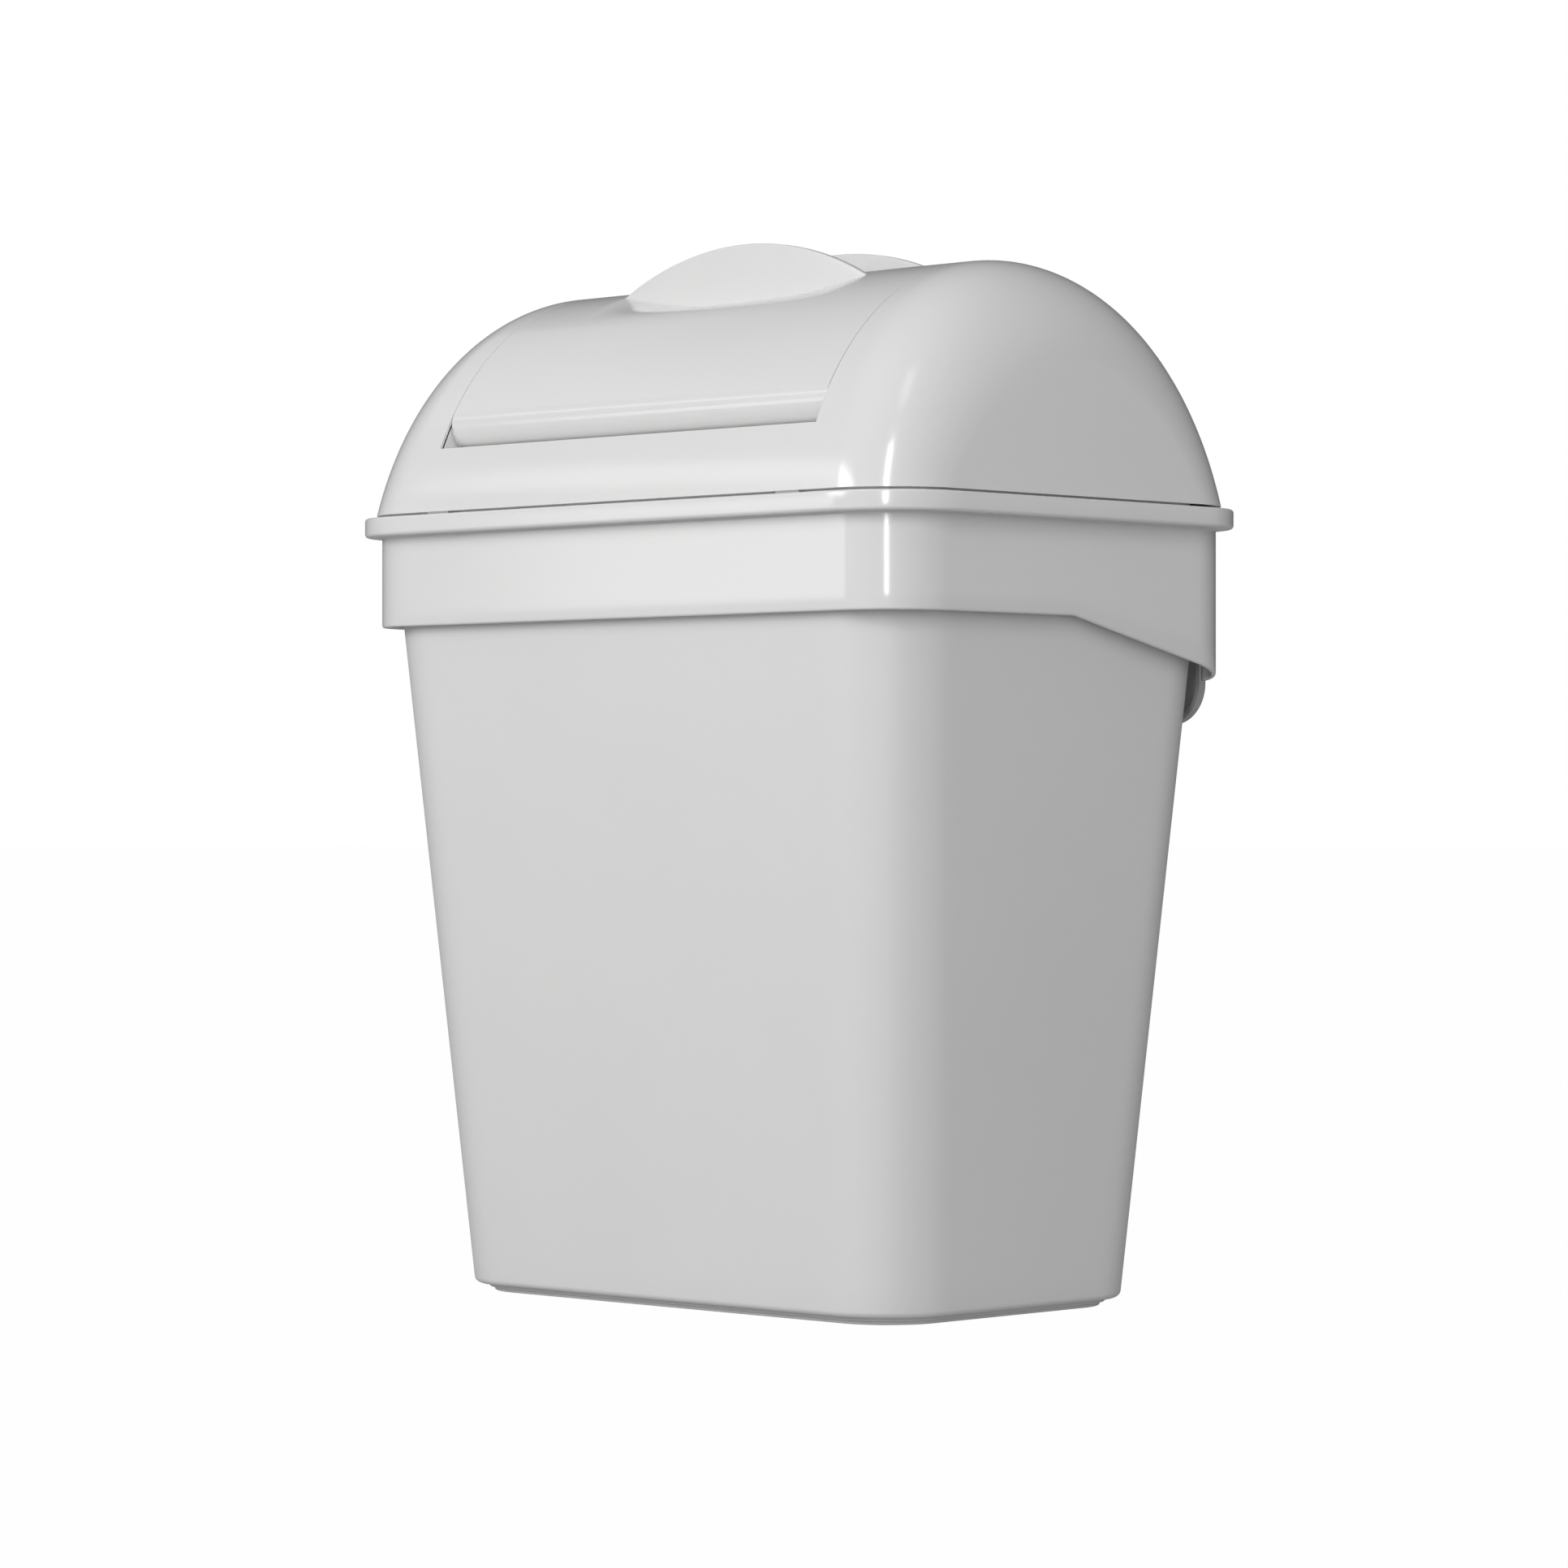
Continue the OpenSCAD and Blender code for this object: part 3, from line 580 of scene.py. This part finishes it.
def build_collar():
    """Skirt and rim flange: the outline carried along a closed profile of (inwards, up), from the skirt's
    foot up the outside, around the flange, in along the ledge and down the inside. Heights up to unit_h are
    a share of the wall between the foot line and the flange, so the wall follows the foot line around the
    loop. A few loops at given heights over the foot line round the lower edge."""
    unit_h = 30.0
    edge_outside = np.array([(1.25, 0.0), (0.6, 0.15), (0.15, 0.55)])
    edge_inside = np.array([(2.35, 0.55), (1.9, 0.15)])
    edge_h = 1.25
    flange_top = unit_h + FLANGE_H
    path = fillet_path(
        [(0.0, 0.0), (0.0, unit_h), (-FLANGE_OUT, unit_h), (-FLANGE_OUT, flange_top),
         (LEDGE_REACH, flange_top), (LEDGE_REACH, flange_top - LEDGE_T), (SKIRT_WALL, flange_top - LEDGE_T),
         (SKIRT_WALL, 0.0)],
        [0, 0.8, 1.8, 1.5, 0.8, 0.8, 0.8, 0], steps=6)
    path = densify(path, step=6.0)
    inward, up = path[:, 0], path[:, 1:]
    outline = collar_plan(0.0)[0]
    foot = skirt_foot(outline[:, 0], outline[:, 1])[None, :]
    wall = foot + (FLANGE_UNDER - foot) * np.clip(up / unit_h, 0, 1)
    z = np.where(up > unit_h, FLANGE_UNDER + (up - unit_h), wall)
    z = np.where(np.abs(up) < 1e-9, foot + edge_h, z)
    z = np.concatenate([foot + edge_outside[:, 1:], z, foot + edge_inside[:, 1:]])
    plan = collar_plan(np.concatenate([edge_outside[:, 0], inward, edge_inside[:, 0]]))
    surface = at_height(plan, z)
    faces = quads(*surface.shape[:2], wrap_cols=True, wrap_rows=True)
    piece = add_mesh("collar_shell", surface, faces, "collar", WHITE_COLLAR, ("collar",))
    make_outward(piece)


def build_upstand():
    """Low wall inside the lid's foot at the front and the sides: part of a rounded loop carried round a
    small rectangular profile with a rounded top, closed at its two ends."""
    half_x = LID_HALF_X - UPSTAND_INSET
    half_y = LID_FOOT_Y - UPSTAND_INSET
    foot, top = FLANGE_TOP - UPSTAND_ROOT, FLANGE_TOP + UPSTAND_H
    profile = fillet_path([(0, foot), (0, top), (UPSTAND_T, top), (UPSTAND_T, foot)], [0, 0.7, 0.7, 0], steps=4)
    inward, height = profile[:, 0], profile[:, 1]
    corner = END_FOOT_R - UPSTAND_INSET - inward
    plan = rounded_loop(half_x - inward, half_y - inward, corner, side_x=60, side_y=60)
    grid = at_height(plan, height[:, None])
    keep = grid[0, :, 1] < half_y - UPSTAND_END
    start = int(np.argmax(~keep))
    part = np.roll(grid, -start, axis=1)[:, np.roll(keep, -start)]
    faces = bar_faces(*part.shape[:2])
    piece = add_mesh("collar_upstand", part, faces, "collar", WHITE_COLLAR)
    make_outward(piece)


build_collar()
build_upstand()

# ---------------------------------------------------------------- dome

def lid_point(s, p):
    """Point of the lid's skin on its right-hand half. s runs from -1 at the back foot over the crest at 0
    to 1 at the front foot; p runs from 0 where the end rounding starts to 90 degrees on the flat end. The
    arch is an ellipse that shrinks through the rounding by r (1 - cos p) and moves out along X by r sin p,
    with r growing from the foot to the crest."""
    foot_angle = np.arcsin((LID_FOOT - ARCH_Z) / (ARCH_H - END_FOOT_R * (1 - np.cos(p))))
    t = np.pi / 2 + s * (np.pi / 2 - foot_angle)
    r = END_CREST_R + (END_FOOT_R - END_CREST_R) * s * s
    cut = r * (1 - np.cos(p))
    x = LID_HALF_X - r * (1 - np.sin(p))
    y = (ARCH_A - cut) * np.cos(t)
    z = ARCH_Z + (ARCH_H - cut) * np.sin(t)
    return np.stack(np.broadcast_arrays(x, y, z), -1)


def build_dome():
    """Dome: one grid over the whole lid, rows from end to end and columns from foot to foot, with the
    opening's cells left out. Each end is closed by rows that shrink to the middle of its foot. The wall is
    added inwards."""
    sill = (math.pi / 2 - arch_angle(SILL_Z)) / (math.pi / 2 - arch_angle(LID_FOOT))
    to_sill = np.linspace(-1, -sill, 11)
    s = np.concatenate([to_sill, np.linspace(-sill, sill, 97)[1:-1], -to_sill[::-1]])
    p = np.linspace(0, np.pi / 2, 29)[:, None]
    share = np.linspace(1, 0, 9)[1:, None]
    across = np.linspace(-OPENING_HALF, OPENING_HALF, 57)
    rounding = lid_point(s, p)
    x, y, z = rounding[-1].T
    end = np.stack(np.broadcast_arrays(x, y * share, LID_FOOT + (z - LID_FOOT) * share), -1)
    right = np.concatenate([rounding, end])
    left = right[::-1] * (-1, 1, 1)
    middle = np.repeat(right[:1], len(across), 0)
    middle[..., 0] = across[:, None]
    grid = np.concatenate([left, middle, right])
    n_rows, n_cols = grid.shape[:2]
    faces = quads(n_rows, n_cols)
    row, col = np.divmod(np.arange(len(faces)), n_cols - 1)
    near = 1e-6
    opening_rows = (row >= len(left)) & (row < len(left) + len(across) - 1)
    opening_cols = (s[col] > -sill - near) & (s[col + 1] < sill + near)
    faces = faces[~(opening_rows & opening_cols)]
    used = np.unique(faces)
    renumber = np.full(n_rows * n_cols, -1)
    renumber[used] = np.arange(len(used))
    verts = grid.reshape(-1, 3)[used]
    piece = add_mesh("dome_shell", verts, renumber[faces], "lid", WHITE_LID, ("dome",))
    make_outward(piece)
    turn_skin_out(piece)
    add_wall(piece, LID_WALL)
    soften_edges(piece, 0.15, angle=80)


def build_cheek(side, word):
    """Cheek across one end of the opening: a band between the arch and the same arch moved in, with a round
    boss for the pivot near the crest, drawn in (y, z) and given a thickness along X."""
    n = 81
    foot_angle = arch_angle(SILL_Z - CHEEK_BELOW)
    t = np.linspace(foot_angle, np.pi - foot_angle, n)
    outer, inner = [np.stack([(ARCH_A - inset) * np.cos(t), ARCH_Z + (ARCH_H - inset) * np.sin(t)], -1)
                    for inset in (LID_WALL / 2, CHEEK_DEPTH)]
    under_boss = PIVOT_Z - np.sqrt(np.maximum(0, BOSS_COVER ** 2 - inner[:, 0] ** 2))
    inner[:, 1] = np.where(np.abs(inner[:, 0]) < BOSS_COVER, np.minimum(inner[:, 1], under_boss), inner[:, 1])
    x_in, x_out = side * OPENING_HALF, side * (OPENING_HALF + CHEEK_T)
    outline = ((x_in, outer), (x_in, inner), (x_out, inner), (x_out, outer))
    grid = np.array([np.concatenate([np.full((n, 1), x), yz], 1) for x, yz in outline])
    piece = add_mesh("dome_cheek_" + word, grid, bar_faces(len(outline), n), "lid", WHITE_LID)
    make_outward(piece)
    soften_edges(piece, 0.3, angle=40)
    ring_piece("pivot_boss_" + word, BOSS_BORE_R, BOSS_R, OPENING_HALF, OPENING_HALF + BOSS_L, side,
               "lid", WHITE_LID)


# the flap's lip leaves the arch here and rolls in around a centre on the arch's normal
LIP_LEAVE = np.array([float(arch_reach(ROLL_START_Z)), ROLL_START_Z])
LIP_NORMAL = np.array([LIP_LEAVE[0] / ARCH_A ** 2, (LIP_LEAVE[1] - ARCH_Z) / ARCH_H ** 2])
LIP_NORMAL /= np.linalg.norm(LIP_NORMAL)
LIP_CENTRE = LIP_LEAVE - ROLL_R * LIP_NORMAL


def build_shelf(side, word):
    """Shelf behind one of the opening's lower edges: from the lid's wall in to just outside the circle that
    the flap's lip sweeps around the pivot."""
    lip_sweep = float(np.linalg.norm(LIP_CENTRE - np.array([0, PIVOT_Z]))) + ROLL_R
    inner = math.sqrt((lip_sweep + SHELF_CLEAR) ** 2 - (PIVOT_Z - SILL_Z) ** 2)
    outer = float(arch_reach(SILL_Z)) - LID_WALL / 2
    front, rear = sorted((side * inner, side * outer))
    half = OPENING_HALF + SHELF_OVERLAP
    box_piece("dome_shelf_" + word, (-half, front, SILL_Z - LID_WALL), (half, rear, SILL_Z), 0.5,
              "lid", WHITE_LID)


build_dome()
for side, word in ((-1, "left"), (1, "right")):
    build_cheek(side, word)
for side, word in ((-1, "front"), (1, "rear")):
    build_shelf(side, word)

# ---------------------------------------------------------------- flap

def hollow_drop(x, y):
    """How far the flap's skin sinks into a finger hollow: deepest against the grip's outer face, fading
    along the grip as a rounded hump and away from it as a smooth step. It rises again inside the grip's own
    thickness."""
    along = np.clip(1 - (x / GRIP_HALF) ** 2, 0, 1) ** HOLLOW_FADE
    away = 1 - smoothstep((np.abs(y) - GRIP_Y) / HOLLOW_REACH)
    inside = np.abs(y) - (GRIP_Y - GRIP_T + HOLLOW_MARGIN)
    behind = smoothstep(inside / (GRIP_T - 2 * HOLLOW_MARGIN))
    return HOLLOW_DEPTH * along * away * behind


def flap_profile():
    """Half profile of the flap from the crest to the end of the rolled lip, as (y, z): the arch down to
    where the roll leaves it, then a circular arc that turns inwards."""
    stops = (0, GRIP_Y - GRIP_T, GRIP_Y, GRIP_Y + HOLLOW_REACH, LIP_LEAVE[0])
    counts = (12, 9, 30, 34)
    spans = [np.linspace(a, b, n)[1:] for a, b, n in zip(stops[:-1], stops[1:], counts)]
    y = np.concatenate([[0.0], *spans])
    on_arch = np.stack([y, arch_height(y)], -1)
    start = math.atan2(LIP_NORMAL[1], LIP_NORMAL[0])
    turn = np.linspace(start, start - ROLL_TURN, 25)[1:]
    on_roll = LIP_CENTRE + ROLL_R * np.stack([np.cos(turn), np.sin(turn)], -1)
    return np.concatenate([on_arch, on_roll])


def build_flap():
    """Flap: its profile, mirrored over the crest, carried along X, with the finger hollows pressed into the
    skin."""
    half = flap_profile()
    y, z = np.concatenate([half[::-1], half[1:] * (-1, 1)]).T
    x = np.linspace(-FLAP_HALF, FLAP_HALF, 141)[:, None]
    grid = np.stack(np.broadcast_arrays(x, y, z - hollow_drop(x, y)), -1)
    piece = add_mesh("flap_shell", grid, quads(*grid.shape[:2]), "flap", WHITE_LID, ("flap",))
    make_outward(piece)
    turn_skin_out(piece)
    add_wall(piece, LID_WALL)
    soften_edges(piece, 0.15, angle=80)


def build_flap_lug(side, word):
    """Lug under one end of the flap: a block that hangs from the skin and a round eye around the pivot
    pin."""
    outer = FLAP_HALF - FLAP_LUG_IN
    inner = outer - FLAP_LUG_L
    top = LID_CREST - FLAP_LUG_SUNK
    left, right = sorted((side * outer, side * inner))
    box_piece("flap_lug_" + word, (left, -LUG_EYE_R, PIVOT_Z), (right, LUG_EYE_R, top), 0.3,
              "flap", WHITE_LID)
    ring_piece("flap_lug_eye_" + word, LUG_BORE_R, LUG_EYE_R, inner, outer, side,
               "flap", WHITE_LID)


build_flap()
for side, word in ((-1, "left"), (1, "right")):
    build_flap_lug(side, word)

# ---------------------------------------------------------------- grips

def build_grip(side, word, node):
    """Grip plate on the +Y or -Y side: a section with a round-cornered top, standing on the hollow's floor
    and ending on a circular arc above, carried along the grip; its height shrinks to almost nothing at the
    two tips."""
    rise = GRIP_TOP - arch_height(GRIP_Y)
    radius = (GRIP_HALF ** 2 + rise ** 2) / (2 * rise)
    x = np.sin(np.linspace(-np.pi / 2, np.pi / 2, 121)) * GRIP_HALF
    top = GRIP_TOP - radius + np.sqrt(radius ** 2 - x ** 2)
    foot = arch_height(GRIP_Y) - hollow_drop(x, GRIP_Y) - GRIP_SUNK
    half_t = GRIP_T / 2
    corner = np.linspace(0, np.pi / 2, 7)
    out = half_t - GRIP_ROUND + GRIP_ROUND * np.cos(corner)
    up = GRIP_ROUND * np.sin(corner) - GRIP_ROUND
    across = np.concatenate([out, -out[::-1], [-half_t, half_t]])[:, None]
    ridge = np.maximum(top + np.concatenate([up, up[::-1]])[:, None], foot + GRIP_TIP_H)
    z = np.concatenate([ridge, [foot, foot]])
    grid = np.stack(np.broadcast_arrays(x, side * (GRIP_Y - half_t) + across, z), -1)
    faces = bar_faces(*grid.shape[:2])
    piece = add_mesh(word + "_grip_plate", grid, faces, "flap", WHITE_LID, (node,))
    make_outward(piece)
    soften_edges(piece, 0.15, angle=60)


# the plate named front stands on the +Y side and the one named rear on the -Y side; they are mirror images
build_grip(1, "front", "front_grip")
build_grip(-1, "rear", "rear_grip")

# ---------------------------------------------------------------- finishes on the pieces kept from the frame

FINISHES = (
    (RUBBER, ("foot_front_left", "foot_front_right", "foot_rear_left", "foot_rear_right")),
    (BUFFER_GAP_SHADE, ("lid_buffer_front_left", "lid_buffer_front_right", "lid_buffer_rear_left",
                     "lid_buffer_rear_right")),
    (PIN_STEEL, ("pivot_pin_left", "pivot_pin_right", "pivot_clip_left", "pivot_clip_right")),
    (BUSH_PLASTIC, ("pivot_bush_left", "pivot_bush_right")),
    (GREY_BRACKET, ("wall_bracket",)),
)
for material, names in FINISHES:
    for name in names:
        nodes[name].data.materials.clear()
        nodes[name].data.materials.append(material)

# ---------------------------------------------------------------- studio, in metres

def studio_floor():
    """Pale paper floor that runs into the white air behind it: its own light hides most of its shading
    where it is seen directly, and for everything that it lights it is a matt grey with a faint light of its
    own."""
    m, tree, paper = new_material("studio_paper")
    place = tree.nodes.new("ShaderNodeTexCoord").outputs["Object"]
    fibre = noise(tree, place, 3.0, 2.0)
    feed(tree, paper.inputs["Base Color"], carry_range(tree, fibre, 0.0, 1.0, 0.24, 0.28))
    paper.inputs["Roughness"].default_value = 1.0
    paper.inputs["Specular IOR Level"].default_value = 0.0
    paper.inputs["Emission Color"].default_value = (1, 1, 1, 1)
    paper.inputs["Emission Strength"].default_value = 0.17
    glow = tree.nodes.new("ShaderNodeEmission")
    glow.inputs["Strength"].default_value = 1.0
    seen = tree.nodes.new("ShaderNodeLightPath").outputs["Is Camera Ray"]
    blend = tree.nodes.new("ShaderNodeMixShader")
    feed(tree, blend.inputs["Fac"], maths(tree, "MULTIPLY", seen, 0.985))
    feed(tree, blend.inputs[1], paper.outputs["BSDF"])
    feed(tree, blend.inputs[2], glow.outputs["Emission"])
    feed(tree, tree.nodes["Material Output"].inputs["Surface"], blend.outputs["Shader"])
    mesh = bpy.data.meshes.new("studio_floor")
    size = 30.0
    corners = [(-size, -size, 0), (size, -size, 0), (size, size, 0), (-size, size, 0)]
    mesh.from_pydata(corners, [], [(0, 1, 2, 3)])
    mesh.materials.append(m)
    floor = bpy.data.objects.new("studio_floor", mesh)
    scene.collection.objects.link(floor)


def studio_air(right, left, back, front, above):
    """Air around the bin, plain white where it is seen directly. What it casts on the bin is the sum of
    five soft lobes, one along each of +X, -X, +Y, -Y and +Z: each has a level and falls off as the square
    of the cosine."""
    world = bpy.data.worlds.new("studio_air")
    world.use_nodes = True
    tree = world.node_tree
    plain = tree.nodes["Background"]
    plain.inputs["Color"].default_value = (1, 1, 1, 1)
    direction = tree.nodes.new("ShaderNodeTexCoord").outputs["Generated"]
    lobes = (((1, 0, 0), right), ((-1, 0, 0), left), ((0, 1, 0), back), ((0, -1, 0), front),
             ((0, 0, 1), above))
    total = 0.0
    for axis, level in lobes:
        cosine = tree.nodes.new("ShaderNodeVectorMath")
        cosine.operation = "DOT_PRODUCT"
        cosine.inputs[1].default_value = axis
        feed(tree, cosine.inputs[0], direction)
        facing = maths(tree, "MAXIMUM", cosine.outputs["Value"], 0.0)
        total = maths(tree, "MULTIPLY_ADD", maths(tree, "MULTIPLY", facing, facing), level, total)
    pick = tree.nodes.new("ShaderNodeMix")
    pick.data_type = "FLOAT"
    feed(tree, pick.inputs["Factor"], tree.nodes.new("ShaderNodeLightPath").outputs["Is Camera Ray"])
    feed(tree, pick.inputs[MIX_FLOAT_A], total)
    feed(tree, pick.inputs[MIX_FLOAT_B], 1.0)
    feed(tree, plain.inputs["Strength"], pick.outputs[MIX_FLOAT_RESULT])
    scene.world = world


def area_light(name, place, aim, size, watts):
    """Rectangular soft light at a place, turned towards a point and not seen directly."""
    data = bpy.data.lights.new(name, "AREA")
    data.shape = "RECTANGLE"
    data.size, data.size_y = size
    data.energy = watts
    lamp = bpy.data.objects.new(name, data)
    lamp.location = place
    lamp.rotation_euler = (Vector(aim) - Vector(place)).to_track_quat("-Z", "Y").to_euler()
    lamp.visible_camera = False
    scene.collection.objects.link(lamp)


studio_floor()
studio_air(right=0.43, left=0.14, back=0.06, front=0.0, above=0.42)
area_light("key_strip", (2.02, -2.58, 1.60), (0.16, -0.10, 0.5), size=(0.26, 2.6), watts=58)
area_light("front_softbox", (-1.15, -2.5, 1.30), (0.0, 0.0, 0.35), size=(1.2, 1.1), watts=29.5)
area_light("left_softbox", (-2.0, -1.99, 1.69), (0.0, -0.1, 0.47), size=(0.9, 0.3), watts=1.4)
area_light("arch_softbox", (-2.35, -0.05, 2.35), (0.0, 0.0, 0.50), size=(2.0, 0.6), watts=1.1)
area_light("corner_softbox", (1.02, -1.06, 2.74), (0.16, -0.10, 0.48), size=(0.35, 0.6), watts=1.4)
area_light("side_panel", (2.42, 1.98, 0.72), (0.2, 0.0, 0.48), size=(1.3, 0.7), watts=0.8)
area_light("low_panel", (-1.87, -2.40, 0.54), (0.1, -0.14, 0.42), size=(0.9, 0.5), watts=3.2)

scene.view_settings.view_transform = "Standard"

camera = bpy.data.objects.new("camera", bpy.data.cameras.new("camera"))
camera.location = (1.9590, -2.0166, 0.2587)
camera.rotation_euler = (math.radians(90), 0, math.radians(44.17))
camera.data.sensor_width = 36.0
camera.data.lens = 120.6
camera.data.shift_x = -0.00545
camera.data.shift_y = 0.01934
scene.collection.objects.link(camera)
scene.camera = camera
